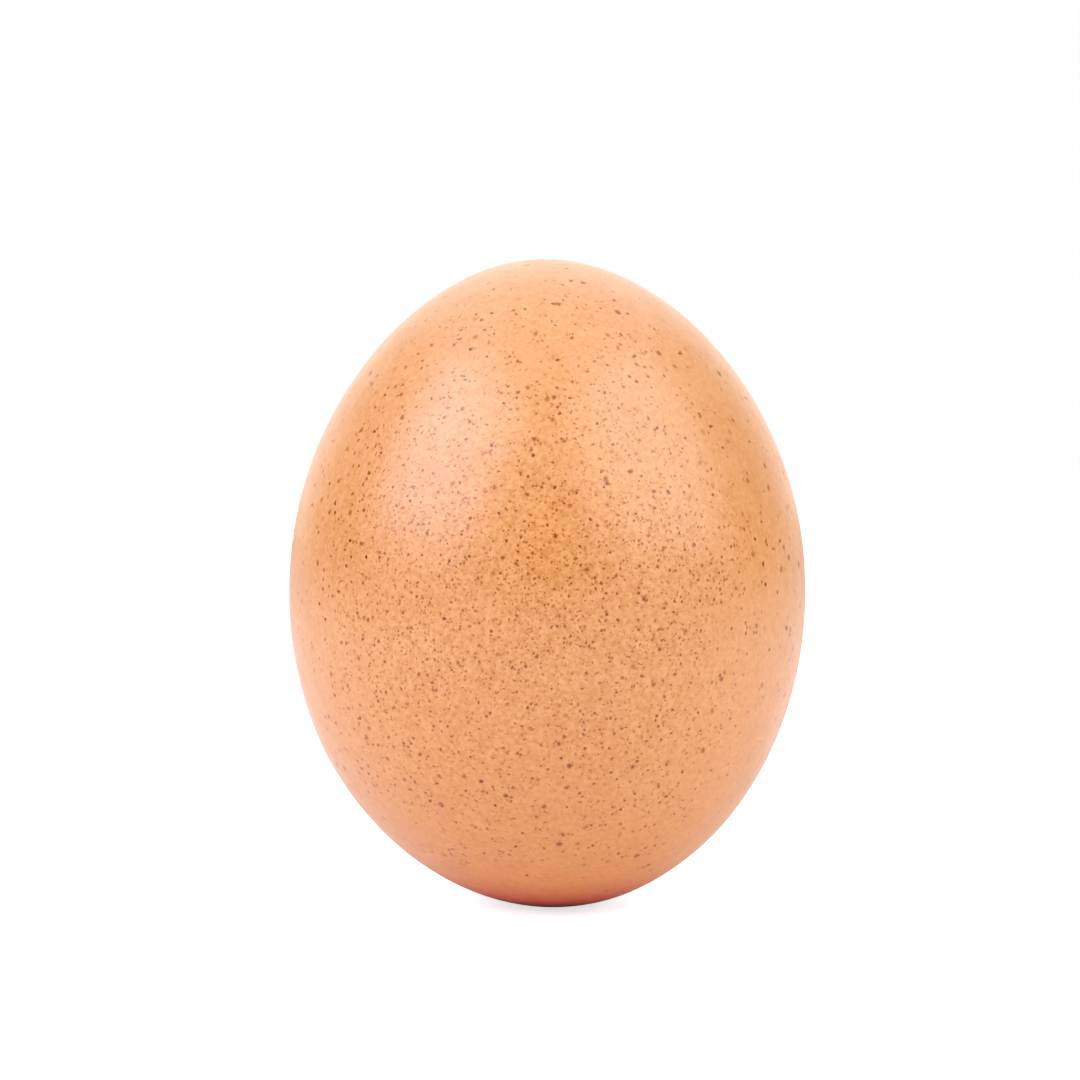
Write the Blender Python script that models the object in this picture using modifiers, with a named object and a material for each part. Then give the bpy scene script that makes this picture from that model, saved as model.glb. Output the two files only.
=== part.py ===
"""A brown, speckled hen's egg, standing on the small flat spot under its blunt end.

Metres, +Z up. The origin is the centre of the flat spot, so the egg stands on z = 0 with its
slightly narrower end up. The shell is closed all round and is modelled as one solid.
"""

import math

import bpy

# Driving dimensions
HEIGHT = 0.0560  # from the flat spot to the tip
HALF_WIDTH = 0.02234  # the ellipse's radius across, which the outline's shape factor then trims
FLAT_RADIUS = 0.0031  # of the small flat spot that the egg stands on

# How the outline departs from an ellipse: the radius across is multiplied by
# 1 + TAPER * u + FULLNESS * u^2 + SKEW * u^3, where u runs from 1 at the tip to -1 at the blunt end.
TAPER = -0.028
FULLNESS = -0.033
SKEW = -0.028

# Fineness of the turned surface
RINGS = 38  # steps along the outline, from the tip to the edge of the flat spot
SEGMENTS = 64  # steps around the axis
WELD_DISTANCE = 0.00001  # joins the turned surface at its seam and at both ends of the axis
HALVINGS = 60  # of the angle's range, when the edge of the flat spot is looked for

SHELL_COLOUR = (0.505, 0.226, 0.078, 1.0)  # warm brown, linear
SHELL_ROUGHNESS = 0.37
SHELL_METALLIC = 0.0


def clear_scene():
    """Removes every object, so that only the egg is left in the file."""
    for old in list(bpy.data.objects):
        bpy.data.objects.remove(old, do_unlink=True)


def outline_radius(angle):
    """Distance from the axis at an angle from the tip, 0 at the tip and pi at the blunt end."""
    along = math.cos(angle)
    shape = 1.0 + TAPER * along + FULLNESS * along**2 + SKEW * along**3
    return HALF_WIDTH * math.sin(angle) * shape


def flat_edge_angle():
    """The angle, near the blunt end, where the outline has come in to the flat spot's radius."""
    nearer_tip = math.pi / 2.0
    nearer_end = math.pi
    for _ in range(HALVINGS):
        middle = (nearer_tip + nearer_end) / 2.0
        if outline_radius(middle) > FLAT_RADIUS:
            nearer_tip = middle
        else:
            nearer_end = middle
    return nearer_end


def outline():
    """Points (x, 0, z) from the tip, down the outside, to the centre of the flat spot."""
    last_angle = flat_edge_angle()
    half_length = HEIGHT / (1.0 - math.cos(last_angle))
    points = [(0.0, 0.0, HEIGHT)]
    for ring in range(1, RINGS + 1):
        angle = last_angle * ring / RINGS
        height = half_length * (math.cos(angle) - math.cos(last_angle))
        points.append((outline_radius(angle), 0.0, height))
    points.append((0.0, 0.0, 0.0))
    return points


def shell_material():
    """Dry brown eggshell."""
    material = bpy.data.materials.new("brown_eggshell")
    material.use_nodes = True
    shader = material.node_tree.nodes["Principled BSDF"]
    shader.inputs["Base Color"].default_value = SHELL_COLOUR
    shader.inputs["Roughness"].default_value = SHELL_ROUGHNESS
    shader.inputs["Metallic"].default_value = SHELL_METALLIC
    material.diffuse_color = SHELL_COLOUR
    return material


def make_egg(collection):
    """The whole egg, its outline turned about the Z axis."""
    points = outline()
    edges = [(i, i + 1) for i in range(len(points) - 1)]
    mesh = bpy.data.meshes.new("egg")
    mesh.from_pydata(points, edges, [])
    egg = bpy.data.objects.new("egg", mesh)
    collection.objects.link(egg)
    mesh.materials.append(shell_material())

    turn = egg.modifiers.new("turn", "SCREW")
    turn.axis = "Z"
    turn.angle = 2.0 * math.pi
    turn.steps = SEGMENTS
    turn.render_steps = SEGMENTS
    turn.use_merge_vertices = True
    turn.merge_threshold = WELD_DISTANCE
    turn.use_smooth_shade = True
    return egg


def main():
    clear_scene()
    collection = bpy.data.collections.new("hen_egg")
    bpy.context.scene.collection.children.link(collection)
    make_egg(collection)


main()
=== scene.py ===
"""A brown, speckled hen's egg standing on the small flat spot under its blunt end.

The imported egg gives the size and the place. Here it gets its fine surface: the shell's uneven relief as
real geometry, and a procedural eggshell with brown speckles, pores and cloudy pigment.
"""

import math
from collections import namedtuple

import bmesh
import bpy
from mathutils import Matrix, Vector, noise


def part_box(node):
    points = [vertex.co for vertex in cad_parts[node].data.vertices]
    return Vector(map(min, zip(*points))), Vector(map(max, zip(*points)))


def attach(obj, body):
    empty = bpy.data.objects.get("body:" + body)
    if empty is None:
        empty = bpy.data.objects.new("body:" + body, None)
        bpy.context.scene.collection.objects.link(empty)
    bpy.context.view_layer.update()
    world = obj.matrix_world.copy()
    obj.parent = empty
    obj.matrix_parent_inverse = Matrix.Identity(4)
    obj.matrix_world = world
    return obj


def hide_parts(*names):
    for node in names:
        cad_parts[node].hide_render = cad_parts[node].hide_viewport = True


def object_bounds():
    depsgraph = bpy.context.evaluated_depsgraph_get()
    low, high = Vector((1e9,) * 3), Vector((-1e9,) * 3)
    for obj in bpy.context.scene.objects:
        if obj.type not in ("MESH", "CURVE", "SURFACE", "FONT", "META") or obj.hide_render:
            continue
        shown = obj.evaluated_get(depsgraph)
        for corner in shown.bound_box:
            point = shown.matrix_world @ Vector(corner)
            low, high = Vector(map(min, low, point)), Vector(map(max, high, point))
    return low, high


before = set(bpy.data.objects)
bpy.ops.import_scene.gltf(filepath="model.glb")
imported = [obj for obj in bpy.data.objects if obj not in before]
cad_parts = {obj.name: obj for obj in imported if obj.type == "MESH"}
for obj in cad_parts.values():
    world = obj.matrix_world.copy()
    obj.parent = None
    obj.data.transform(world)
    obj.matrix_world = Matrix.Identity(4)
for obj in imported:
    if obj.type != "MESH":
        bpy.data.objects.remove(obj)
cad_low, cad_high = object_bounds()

MM = 0.001

# The egg's outline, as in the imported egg: how it departs from an ellipse, and its flat spot.
TAPER = -0.028
FULLNESS = -0.033
SKEW = -0.028
FLAT_RADIUS = 3.1 * MM
OUTLINE_STEPS = 720  # from the tip to the blunt end, when the widest place is looked for
HALVINGS = 60  # of the angle's range, when the edge of the flat spot is looked for

# The fine mesh: a cube's six sides, rounded into the egg.
PATCH_CELLS = 116  # cells along each edge of a side
PATCH_MARGIN = 0.012  # clear border around each side in the bake map, as a share of the side
RELIEF_FADE = 4.0 * MM  # the relief grows from nothing at the flat spot to its full height here

# Relief of the shell: size of the swellings, their height, and their place in the noise field.
RELIEF = (
    (24.0 * MM, 0.100 * MM, Vector((3.1, 7.7, 1.9))),
    (7.0 * MM, 0.022 * MM, Vector((11.3, 2.5, 8.1))),
    (1.9 * MM, 0.005 * MM, Vector((5.9, 4.1, 6.7))),
)

# Where the shell is slightly flatter than a body turned on a lathe: the way there from the egg's middle,
# how far round the shell it spreads, in degrees, and its depth.
FLATTER_PLACES = (
    (Vector((-0.385, -0.27, -0.88)), 38.0, 0.46 * MM),
    (Vector((0.27, 0.0, 0.96)), 26.0, 0.09 * MM),
)


# ------------------------------------------------------------------------------------------ shape


def outline_shape(angle):
    """Radius across, as a share of the half width, at an angle from the tip."""
    along = math.cos(angle)
    return math.sin(angle) * (1.0 + TAPER * along + FULLNESS * along**2 + SKEW * along**3)


def egg_sizes():
    """Half width, half length and the height of the middle of the whole egg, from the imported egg."""
    low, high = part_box("egg")
    widest = max(outline_shape(math.pi * step / OUTLINE_STEPS) for step in range(OUTLINE_STEPS + 1))
    half_width = (high.x - low.x) / 2.0 / widest
    nearer_tip, nearer_end = math.pi / 2.0, math.pi
    for _ in range(HALVINGS):
        middle = (nearer_tip + nearer_end) / 2.0
        if half_width * outline_shape(middle) > FLAT_RADIUS:
            nearer_tip = middle
        else:
            nearer_end = middle
    half_length = (high.z - low.z) / (1.0 - math.cos(nearer_end))
    return half_width, half_length, low.z - half_length * math.cos(nearer_end)


def cube_of_grids(cells):
    """A cube from -1 to 1 with a grid on each side, and each side laid out in its own sixth of the map."""
    bm = bmesh.new()
    bmesh.ops.create_cube(bm, size=2.0)
    bmesh.ops.subdivide_edges(bm, edges=bm.edges[:], cuts=cells - 1, use_grid_fill=True)
    bm.normal_update()
    map_layer = bm.loops.layers.uv.new("OFBake")
    for face in bm.faces:
        normal = face.normal
        axis = max(range(3), key=lambda i: abs(normal[i]))
        positive = normal[axis] > 0.0
        for loop in face.loops:
            place = loop.vert.co
            if axis == 2:
                across, up = place.x, place.y
                mirrored = not positive
            else:
                across, up = place[1 - axis], place.z
                mirrored = (axis == 0) != positive
            if mirrored:
                across = -across
            share_across, share_up = (
                PATCH_MARGIN + (1.0 - 2.0 * PATCH_MARGIN) * (side + 1.0) / 2.0 for side in (across, up)
            )
            loop[map_layer].uv = ((axis + share_across) / 3.0, (int(positive) + share_up) / 2.0)
    return bm


def shell_point(cube_point, half_width, half_length, middle_height):
    """Where a point of the cube's surface goes on the egg, and the direction out of the shell there."""
    even = Vector([math.tan(side * math.pi / 4.0) for side in cube_point]).normalized()
    angle = math.acos(max(-1.0, min(1.0, even.z)))
    turn = math.atan2(even.y, even.x)
    radius = half_width * outline_shape(angle)
    along = half_length * math.cos(angle)
    place = Vector((radius * math.cos(turn), radius * math.sin(turn), middle_height + along))
    out = Vector((place.x / half_width**2, place.y / half_width**2, along / half_length**2))
    return place, out.normalized()


def flattening(way):
    """How far the shell lies inside the turned shape, in the way given from the egg's middle."""
    depth = 0.0
    for towards, reach, deepest in FLATTER_PLACES:
        nearness = max(0.0, 1.0 - way.angle(towards) / math.radians(reach))
        depth += deepest * nearness**2 * (3.0 - 2.0 * nearness)
    return depth


def make_shell():
    """The shell's fine mesh, with its relief, flat where it rests."""
    sizes = egg_sizes()
    floor_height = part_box("egg")[0].z
    bm = cube_of_grids(PATCH_CELLS)
    for vert in bm.verts:
        place, out = shell_point(vert.co, *sizes)
        fade = min(1.0, max(0.0, (place.z - floor_height) / RELIEF_FADE))
        lift = sum(height * noise.noise(place / size + offset) for size, height, offset in RELIEF)
        way = place - Vector((0.0, 0.0, sizes[2]))
        place += out * (lift * fade - flattening(way))
        place.z = max(place.z, floor_height)
        vert.co = place
    mesh = bpy.data.meshes.new("speckled_shell")
    bm.to_mesh(mesh)
    bm.free()
    mesh.shade_smooth()
    shell = bpy.data.objects.new("speckled_shell", mesh)
    bpy.context.scene.collection.objects.link(shell)
    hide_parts("egg")
    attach(shell, "root")
    return shell


# ------------------------------------------------------------------------------------------- nodes


class Nodes:
    """Short calls that add nodes to a material's tree and give back the socket to use next."""

    def __init__(self, tree):
        self.tree = tree

    def add(self, kind, inputs=(), **settings):
        node = self.tree.nodes.new("ShaderNode" + kind)
        for name, value in settings.items():
            setattr(node, name, value)
        for name, value in dict(inputs).items():
            self.feed(node.inputs[name], value)
        return node

    def feed(self, socket, value):
        if isinstance(value, bpy.types.NodeSocket):
            self.tree.links.new(value, socket)
        else:
            socket.default_value = value

    def math(self, operation, *values):
        return self.add("Math", enumerate(values), operation=operation).outputs[0]

    def vector(self, operation, *values):
        return self.add("VectorMath", enumerate(values), operation=operation).outputs[0]

    def scaled(self, vector, factor):
        return self.add("VectorMath", {"Vector": vector, "Scale": factor}, operation="SCALE").outputs[0]

    def noise_node(self, place, size, detail, shift):
        shifted = self.vector("ADD", place, shift)
        return self.add("TexNoise", {"Vector": shifted, "Scale": 1.0 / size, "Detail": detail})

    def noise(self, place, size, detail, shift):
        """Smooth noise from 0 to 1, with swellings of about the given size."""
        return self.noise_node(place, size, detail, shift).outputs[0]

    def noise_vector(self, place, size, detail, shift):
        """The same, with three numbers that don't follow each other."""
        return self.noise_node(place, size, detail, shift).outputs["Color"]

    def cells(self, place, size, shift):
        """Scattered points about size apart: how far the nearest one is, and its three random numbers."""
        shifted = self.vector("ADD", place, shift)
        cells = self.add("TexVoronoi", {"Vector": shifted, "Scale": 1.0 / size, "Randomness": 1.0})
        distance = self.math("MULTIPLY", cells.outputs["Distance"], size)
        return distance, self.add("SeparateColor", {"Color": cells.outputs["Color"]}).outputs

    def spread(self, value, low, high, to_low=0.0, to_high=1.0):
        """Carries low..high over to to_low..to_high, easing in and out, and holds beyond both ends."""
        inputs = {"Value": value, "From Min": low, "From Max": high, "To Min": to_low, "To Max": to_high}
        return self.add("MapRange", inputs, interpolation_type="SMOOTHSTEP").outputs["Result"]

    def mix(self, factor, first, second, blend="MIX"):
        """Two colours, mixed or blended. The Mix node takes colours at 6 and 7 and gives one at 2."""
        inputs = {"Factor": factor, 6: first, 7: second}
        return self.add("Mix", inputs, data_type="RGBA", blend_type=blend).outputs[2]

    def ramp(self, value, stops):
        """A smooth curve through (position, colour or number) stops."""
        node = self.add("ValToRGB", {"Fac": value})
        node.color_ramp.interpolation = "EASE"
        elements = node.color_ramp.elements
        elements[0].position = stops[0][0]
        elements[1].position = stops[-1][0]
        for position, _ in stops[1:-1]:
            elements.new(position)
        for element, (_, colour) in zip(elements, stops):
            red, green, blue = colour if isinstance(colour, tuple) else (colour, colour, colour)
            element.color = (red, green, blue, 1.0)
        return node.outputs["Color"]


# --------------------------------------------------------------------------------- eggshell material

# Colours are linear red, green and blue. All sizes in the material are in mm.
SHELL_COLOUR = (0.503, 0.221, 0.073, 1.0)
PALE_COLOUR = (0.516, 0.233, 0.079, 1.0)
BLUNT_END_COLOUR = (0.545, 0.202, 0.039, 1.0)
IOR = 1.58

# How far the shell has turned to the blunt end's colour, by height from the flat spot (0) to the tip (1).
BLUNT_END_SHARE = ((0.0, 1.0), (0.25, 0.56), (0.5, 0.25), (1.0, 0.0))

# Painted contact shade: how the shell darkens and reddens down to the flat spot, as in the shadow where it
# meets the floor: height, and a tint that it is multiplied by.
FOOT_PAINTED_SHADE = (
    (0.0040, (0.18, 0.01, 0.00)),
    (0.0075, (0.35, 0.02, 0.01)),
    (0.0130, (0.79, 0.09, 0.03)),
    (0.0210, (1.08, 0.26, 0.12)),
    (0.0300, (1.13, 0.48, 0.30)),
    (0.0390, (1.10, 0.65, 0.49)),
    (0.0520, (1.08, 0.84, 0.75)),
    (0.0700, (1.06, 0.98, 0.96)),
    (0.1200, (1.00, 1.00, 1.00)),
)

# Noise patterns: size of the swellings, detail, and a shift that keeps each pattern unlike the others.
CLOUDS = (9.0, 3.0, (1.7, 4.2, 9.3))
MOTTLE = (1.5, 2.0, (8.8, 3.1, 5.4))
GRAIN = (0.42, 1.0, (2.9, 6.6, 1.8))
PATCHES = (6.0, 2.0, (12.2, 7.3, 0.6))
WOBBLE = (0.22, 1.0, (4.4, 1.2, 7.9))
GLOSS_PATCHES = (2.4, 3.0, (6.1, 0.4, 3.9))
FINE_BUMPS = (0.30, 3.0, (9.9, 5.5, 2.2))

# The values that most of a noise pattern lies between, and the middle of a vector of noise.
NOISE_RANGE = (0.3, 0.7)
CLOUD_RANGE = (0.35, 0.70)
GRAIN_RANGE = (0.25, 0.75)
NOISE_MIDDLE = (0.5, 0.5, 0.5)

# Pigment: what one full depth of it leaves of the shell's own red, green and blue, and how deep the faint
# mottling, an even veil and the grain go. Where the speckles lie thickly there is more veil and grain.
PIGMENT = (0.35, 0.155, 0.010)
MOTTLE_DEPTH = 0.02
VEIL_DEPTH = 0.025
GRAIN_DEPTH = 0.040
GRAIN_DEPTH_IN_SPECKLES = 0.045
WOBBLE_REACH = 0.30  # how far the noise pulls the speckles' edges out of round

# How thickly the speckles lie, by height.
SPECKLE_BAND = (
    (0.06, 0.00),
    (0.13, 0.22),
    (0.22, 0.43),
    (0.35, 0.76),
    (0.47, 0.94),
    (0.60, 1.00),
    (0.72, 0.62),
    (0.84, 0.28),
    (1.00, 0.09),
)

PATCHINESS = (0.92, 1.07)  # the factor that noise changes this by

# And round the egg: full on the densest side, with a share of that left at both sides and at the back. The
# ranges are cosines of the angle from the densest side: 1 there, 0 at both sides and -1 at the back.
DENSEST_SIDE = (-0.07, -0.998, 0.0)
FRONT_RANGE = (0.50, 1.02)
FRONT_UNEVENNESS = 0.10
BACK_RANGE = (0.0, -0.9)
SHARE_AT_THE_SIDES = 0.08
SHARE_AT_THE_BACK = 0.35

# Layers of speckles, coarse to fine. cell: the size of the cells that hold one speckle each at the most.
# smallest, largest: radius, where the speckles lie thickest. share: of the cells filled there. follow: how
# strongly the share follows the thickness. faintest, deepest: pigment. shift: of the pattern.
Layer = namedtuple("Layer", "name cell smallest largest share follow faintest deepest shift")
SPECKLES = (
    Layer("spots", 0.85, 0.165, 0.240, 0.30, 0.36, 0.10, 1.25, (3.3, 9.1, 4.7)),
    Layer("dots", 0.42, 0.103, 0.162, 0.80, 0.95, 0.10, 1.80, (17.9, 2.3, 8.8)),
    Layer("flecks", 0.31, 0.078, 0.127, 0.92, 1.45, 0.09, 1.40, (5.1, 21.7, 12.4)),
    Layer("ghosts", 0.25, 0.069, 0.127, 0.85, 1.50, 0.08, 0.36, (8.7, 14.3, 2.6)),
)
SPARSE_GROWTH = 0.50  # how much bigger the speckles are, as a share, where they all but stop
STRENGTH_POWER = 2.3  # above 1, most speckles are faint and a few are deep
SPECKLE_EDGE = (0.10, 1.25)  # a speckle fades out between these shares of its radius

# A few rust-red flecks: cell, the radius of the even core and of the whole, share of the cells with one,
# tint and shift.
RUST_CELL = 3.4
RUST_CORE = 0.10
RUST_RADIUS = 0.34
RUST_SHARE = 0.18
RUST_TINT = (0.60, 0.27, 0.13, 1.0)
RUST_SHIFT = (2.2, 6.9, 15.1)

# Surface: roughness from patch to patch, how much less rough one full depth of pigment is, pores, with the
# radius of their even floor and of the whole, and fine bumps.
SMOOTHEST = 0.345
ROUGHEST = 0.385
PIGMENT_GLOSS = 0.04
PORE_CELL = 0.6
PORE_FLOOR = 0.03
PORE_RADIUS = 0.13
PORE_DEPTH = 0.010
PORE_SHIFT = (7.7, 3.9, 1.1)
FINE_BUMP_HEIGHT = 0.007

WHITE = (1.0, 1.0, 1.0, 1.0)


def base_colour(nodes, place, height):
    """The shell's colour: cloudy, ruddier towards the blunt end, and dark red-brown at the foot from painted
    contact shade.
    """
    clouds = nodes.spread(nodes.noise(place, *CLOUDS), *CLOUD_RANGE)
    colour = nodes.mix(clouds, SHELL_COLOUR, PALE_COLOUR)
    colour = nodes.mix(nodes.ramp(height, BLUNT_END_SHARE), colour, BLUNT_END_COLOUR)
    # The foot's painted contact shade: darker and redder down to the flat spot.
    return nodes.mix(1.0, colour, nodes.ramp(height, FOOT_PAINTED_SHADE), "MULTIPLY")


def speckle_thickness(nodes, place, height):
    """How thickly the speckles lie: a band round the egg, a little patchy, thickest on one side."""
    patches = nodes.noise(place, *PATCHES)
    patchy = nodes.spread(patches, *NOISE_RANGE, *PATCHINESS)
    thickness = nodes.math("MULTIPLY", nodes.ramp(height, SPECKLE_BAND), patchy)
    level = nodes.vector("NORMALIZE", nodes.vector("MULTIPLY", place, (1.0, 1.0, 0.0)))
    side = nodes.add("VectorMath", {0: level, 1: DENSEST_SIDE}, operation="DOT_PRODUCT").outputs["Value"]
    shifted_side = nodes.math("ADD", side, -FRONT_UNEVENNESS / 2.0)
    uneven_side = nodes.math("MULTIPLY_ADD", patches, FRONT_UNEVENNESS, shifted_side)
    densest = nodes.spread(uneven_side, *FRONT_RANGE, SHARE_AT_THE_SIDES, 1.0)
    back = nodes.spread(side, *BACK_RANGE, 0.0, SHARE_AT_THE_BACK)
    return nodes.math("MULTIPLY", thickness, nodes.math("ADD", densest, back))


def speckle_growth(nodes, thickness):
    """How many times bigger the speckles are than where they lie thickest."""
    sparse = nodes.math("SUBTRACT", 1.0, thickness)
    return nodes.math("MULTIPLY_ADD", nodes.math("MULTIPLY", sparse, sparse), SPARSE_GROWTH, 1.0)


def speckle_layer(nodes, place, thickness, growth, layer):
    """Depth of pigment of one layer of soft round marks, each with its own size and strength."""
    distance, chances = nodes.cells(place, layer.cell, layer.shift)
    radius = nodes.math("MULTIPLY_ADD", chances[0], layer.largest - layer.smallest, layer.smallest)
    away = nodes.math("DIVIDE", distance, nodes.math("MULTIPLY", radius, growth))
    disc = nodes.spread(away, *SPECKLE_EDGE, 1.0, 0.0)
    share = nodes.math("MULTIPLY", nodes.math("POWER", thickness, layer.follow), layer.share)
    filled = nodes.math("LESS_THAN", chances[1], share)
    strength = nodes.math("POWER", chances[2], STRENGTH_POWER)
    depth = nodes.math("MULTIPLY_ADD", strength, layer.deepest - layer.faintest, layer.faintest)
    return nodes.math("MULTIPLY", nodes.math("MULTIPLY", disc, filled), depth)


def pigment_depth(nodes, place, uneven_place, height):
    """Depth of all the brown pigment: faint mottling and grain, then every layer of speckles."""
    thickness = speckle_thickness(nodes, place, height)
    mottle = nodes.spread(nodes.noise(place, *MOTTLE), *NOISE_RANGE, -MOTTLE_DEPTH, MOTTLE_DEPTH)
    grain = nodes.spread(nodes.noise(place, *GRAIN), *GRAIN_RANGE, -1.0, 1.0)
    grain_depth = nodes.math("MULTIPLY_ADD", thickness, GRAIN_DEPTH_IN_SPECKLES, GRAIN_DEPTH)
    pigment = nodes.math("MULTIPLY_ADD", thickness, VEIL_DEPTH, mottle)
    pigment = nodes.math("MULTIPLY_ADD", grain, grain_depth, pigment)
    growth = speckle_growth(nodes, thickness)
    for layer in SPECKLES:
        pigment = nodes.math("ADD", pigment, speckle_layer(nodes, uneven_place, thickness, growth, layer))
    return pigment


def rust_tint(nodes, place):
    """White, and the rust tint in a few soft flecks."""
    distance, chances = nodes.cells(place, RUST_CELL, RUST_SHIFT)
    fleck = nodes.spread(distance, RUST_CORE, RUST_RADIUS, 1.0, 0.0)
    chosen = nodes.math("LESS_THAN", chances[0], RUST_SHARE)
    return nodes.mix(nodes.math("MULTIPLY", fleck, chosen), WHITE, RUST_TINT)


def make_eggshell():
    """Dry speckled eggshell with a soft gloss."""
    material = bpy.data.materials.new("speckled_eggshell")
    material.use_nodes = True
    shader = material.node_tree.nodes["Principled BSDF"]
    shader.inputs["IOR"].default_value = IOR
    nodes = Nodes(material.node_tree)

    place = nodes.scaled(nodes.add("TexCoord").outputs["Object"], 1.0 / MM)
    low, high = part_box("egg")
    above = nodes.math("SUBTRACT", nodes.add("SeparateXYZ", {0: place}).outputs["Z"], low.z / MM)
    height = nodes.math("DIVIDE", above, (high.z - low.z) / MM)
    wobble = nodes.vector("SUBTRACT", nodes.noise_vector(place, *WOBBLE), NOISE_MIDDLE)
    uneven_place = nodes.vector("ADD", place, nodes.scaled(wobble, WOBBLE_REACH))

    pigment = pigment_depth(nodes, place, uneven_place, height)
    colour = nodes.mix(1.0, base_colour(nodes, place, height), rust_tint(nodes, uneven_place), "MULTIPLY")
    left = nodes.add("CombineColor", enumerate(nodes.math("POWER", channel, pigment) for channel in PIGMENT))
    nodes.feed(shader.inputs["Base Color"], nodes.mix(1.0, colour, left.outputs[0], "MULTIPLY"))

    roughness = nodes.spread(nodes.noise(place, *GLOSS_PATCHES), *NOISE_RANGE, SMOOTHEST, ROUGHEST)
    nodes.feed(shader.inputs["Roughness"], nodes.math("MULTIPLY_ADD", pigment, -PIGMENT_GLOSS, roughness))

    pore_distance, _ = nodes.cells(place, PORE_CELL, PORE_SHIFT)
    pore = nodes.spread(pore_distance, PORE_FLOOR, PORE_RADIUS, -PORE_DEPTH, 0.0)
    bumps = nodes.math("MULTIPLY_ADD", nodes.noise(place, *FINE_BUMPS), FINE_BUMP_HEIGHT, pore)
    bump = nodes.add("Bump", {"Height": bumps, "Distance": MM, "Strength": 1.0})
    nodes.feed(shader.inputs["Normal"], bump.outputs[0])
    return material


# ------------------------------------------------------------------------------------------ studio

# Camera: its height above level in degrees, its lens in mm, how much of the frame's height the egg takes,
# and how far the frame's middle lies beside and above the egg's, as shares of the frame's height.
CAMERA_ELEVATION = 4.0
LENS = 100.0
SENSOR = 36.0
EGG_SHARE = 0.5977
MIDDLE_ASIDE = -0.0065
MIDDLE_ABOVE = 0.0398
CLIP_START = 0.05  # as a share of the camera's distance
CLIP_END = 10.0  # in metres

# Light from all round: in front of the egg, behind it, and a glow straight behind it. The ranges are of a
# direction's depth, from -1 on the camera's side to 1 straight behind the egg.
WORLD_FRONT = 0.15
WORLD_BACK = 0.20
WORLD_GLOW = 1.50
WORLD_RANGE = (-0.3, 0.5)
GLOW_RANGE = (0.45, 0.95)
SHADE_RANGE = (0.10, 0.75)

# What the camera sees round the egg: white paper, brightened a little, that runs on into a backdrop, white
# behind the egg and pale grey all round the other sides.
PAPER_COLOUR = (0.90, 0.90, 0.90, 1.0)
PAPER_ROUGHNESS = 0.9
PAPER_SPECULAR = 0.2
PAPER_LIFT = 0.70
PAPER_ENDS = 0.08  # the backdrop begins to show here, in metres from the egg
BACKDROP_FULL = 1.00  # and hides the paper from here on
SIDE_SHADE = 0.86
FLOOR_HALF_WIDTH = 2.5

# Azimuth is from the camera's side to its right, and both angles are in degrees. Sizes are in metres.
Softbox = namedtuple("Softbox", "name azimuth elevation distance width height watts colour")
SOFTBOXES = (
    Softbox("softbox_left", -58.0, 38.0, 0.60, 0.55, 0.57, 6.29, (0.735, 0.745, 0.89)),
    Softbox("softbox_right", 57.0, 38.0, 0.60, 0.66, 0.65, 4.76, (0.92, 0.93, 0.97)),
    Softbox("softbox_top", 180.0, 72.0, 0.60, 0.80, 0.80, 2.55, (0.87, 0.88, 1.0)),
)


def backdrop_shade(nodes, towards):
    """How bright the backdrop looks in a direction: white behind the egg, greyer everywhere else."""
    depth = nodes.add("SeparateXYZ", {0: towards}).outputs["Y"]
    return nodes.spread(depth, *SHADE_RANGE, SIDE_SHADE, 1.0)


def make_world():
    """Soft light from all round, brightest behind the egg. The camera itself sees the backdrop."""
    world = bpy.data.worlds.new("studio")
    world.use_nodes = True
    world.node_tree.nodes.clear()
    nodes = Nodes(world.node_tree)
    towards = nodes.add("TexCoord").outputs["Generated"]
    depth = nodes.add("SeparateXYZ", {0: towards}).outputs["Y"]
    around = nodes.spread(depth, *WORLD_RANGE, WORLD_FRONT, WORLD_BACK)
    glow = nodes.spread(depth, *GLOW_RANGE, 0.0, WORLD_GLOW)
    lighting = nodes.add("Background", {"Color": WHITE, "Strength": nodes.math("ADD", around, glow)})
    backdrop = nodes.add("Background", {"Color": WHITE, "Strength": backdrop_shade(nodes, towards)})
    by_camera = nodes.add("LightPath").outputs["Is Camera Ray"]
    surface = nodes.add("MixShader", {"Fac": by_camera, 1: lighting.outputs[0], 2: backdrop.outputs[0]})
    nodes.add("OutputWorld", {"Surface": surface.outputs[0]})
    bpy.context.scene.world = world


def make_paper():
    """White paper near the egg. Further out the camera sees the backdrop in its place."""
    paper = bpy.data.materials.new("white_paper")
    paper.use_nodes = True
    shader = paper.node_tree.nodes["Principled BSDF"]
    shader.inputs["Base Color"].default_value = PAPER_COLOUR
    shader.inputs["Roughness"].default_value = PAPER_ROUGHNESS
    shader.inputs["Specular IOR Level"].default_value = PAPER_SPECULAR
    shader.inputs["Emission Color"].default_value = WHITE
    nodes = Nodes(paper.node_tree)
    by_camera = nodes.add("LightPath").outputs["Is Camera Ray"]
    nodes.feed(shader.inputs["Emission Strength"], nodes.math("MULTIPLY", by_camera, PAPER_LIFT))
    place = nodes.add("TexCoord").outputs["Object"]
    away = nodes.add("VectorMath", {0: place}, operation="LENGTH").outputs["Value"]
    far = nodes.math("MULTIPLY", by_camera, nodes.spread(away, PAPER_ENDS, BACKDROP_FULL))
    shade = backdrop_shade(nodes, nodes.vector("NORMALIZE", place))
    backdrop = nodes.add("Emission", {"Color": WHITE, "Strength": shade})
    surface = nodes.add("MixShader", {"Fac": far, 1: shader.outputs[0], 2: backdrop.outputs[0]})
    nodes.feed(paper.node_tree.nodes["Material Output"].inputs["Surface"], surface.outputs[0])
    return paper


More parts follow.
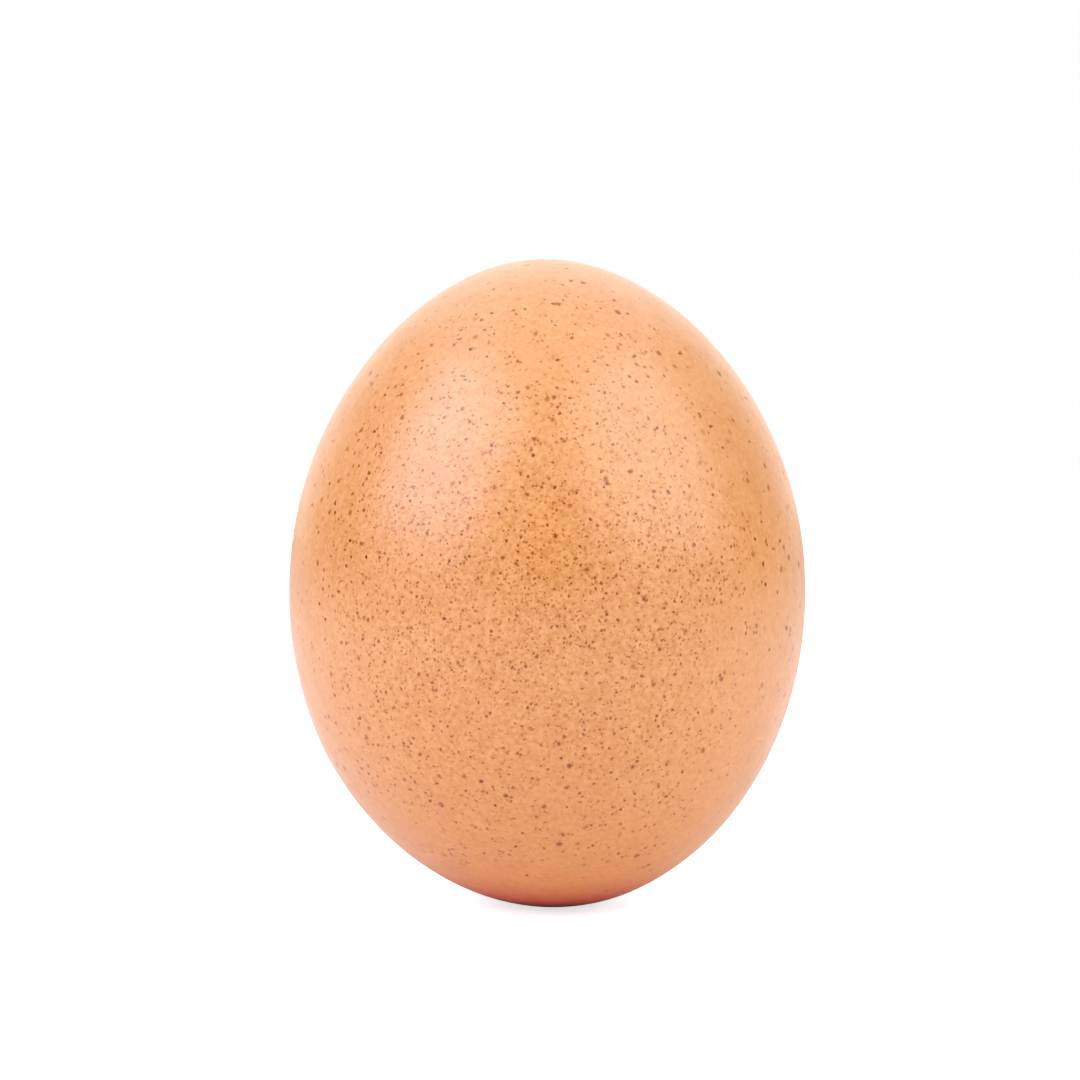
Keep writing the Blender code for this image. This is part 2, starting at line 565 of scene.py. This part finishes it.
def make_floor():
    """A level square of paper at the height of the egg's flat spot."""
    mesh = bpy.data.meshes.new("floor")
    bm = bmesh.new()
    bmesh.ops.create_grid(bm, x_segments=1, y_segments=1, size=FLOOR_HALF_WIDTH)
    bm.to_mesh(mesh)
    bm.free()
    mesh.materials.append(make_paper())
    floor = bpy.data.objects.new("floor", mesh)
    bpy.context.scene.collection.objects.link(floor)
    floor.location.z = cad_low.z


def make_softboxes():
    """Area lights on a sphere round the egg, each facing it."""
    egg_middle = (cad_low + cad_high) / 2.0
    for box in SOFTBOXES:
        azimuth = math.radians(box.azimuth)
        elevation = math.radians(box.elevation)
        level = Vector((math.sin(azimuth), -math.cos(azimuth), 0.0))
        out = level * math.cos(elevation) + Vector((0.0, 0.0, math.sin(elevation)))
        data = bpy.data.lights.new(box.name, "AREA")
        data.shape = "RECTANGLE"
        data.size = box.width
        data.size_y = box.height
        data.energy = box.watts
        data.color = box.colour
        light = bpy.data.objects.new(box.name, data)
        bpy.context.scene.collection.objects.link(light)
        light.location = egg_middle + out * box.distance
        light.rotation_mode = "QUATERNION"
        light.rotation_quaternion = out.to_track_quat("Z", "Y")


def make_camera():
    """The photograph's view: almost level, the egg a little below and right of the frame's middle."""
    frame_height = (cad_high.z - cad_low.z) / EGG_SHARE
    egg_middle = (cad_low + cad_high) / 2.0
    aim = egg_middle + Vector((MIDDLE_ASIDE, 0.0, MIDDLE_ABOVE)) * frame_height
    distance = frame_height * LENS / SENSOR
    tilt = math.radians(CAMERA_ELEVATION)
    back = Vector((0.0, -math.cos(tilt), math.sin(tilt)))
    data = bpy.data.cameras.new("camera")
    data.lens = LENS
    data.sensor_width = SENSOR
    data.clip_start = distance * CLIP_START
    data.clip_end = CLIP_END
    camera = bpy.data.objects.new("camera", data)
    bpy.context.scene.collection.objects.link(camera)
    camera.location = aim + back * distance
    camera.rotation_mode = "QUATERNION"
    camera.rotation_quaternion = back.to_track_quat("Z", "Y")
    bpy.context.scene.camera = camera


egg = make_shell()
egg.data.materials.append(make_eggshell())
make_world()
make_floor()
make_softboxes()
make_camera()
bpy.context.scene.view_settings.view_transform = "Standard"
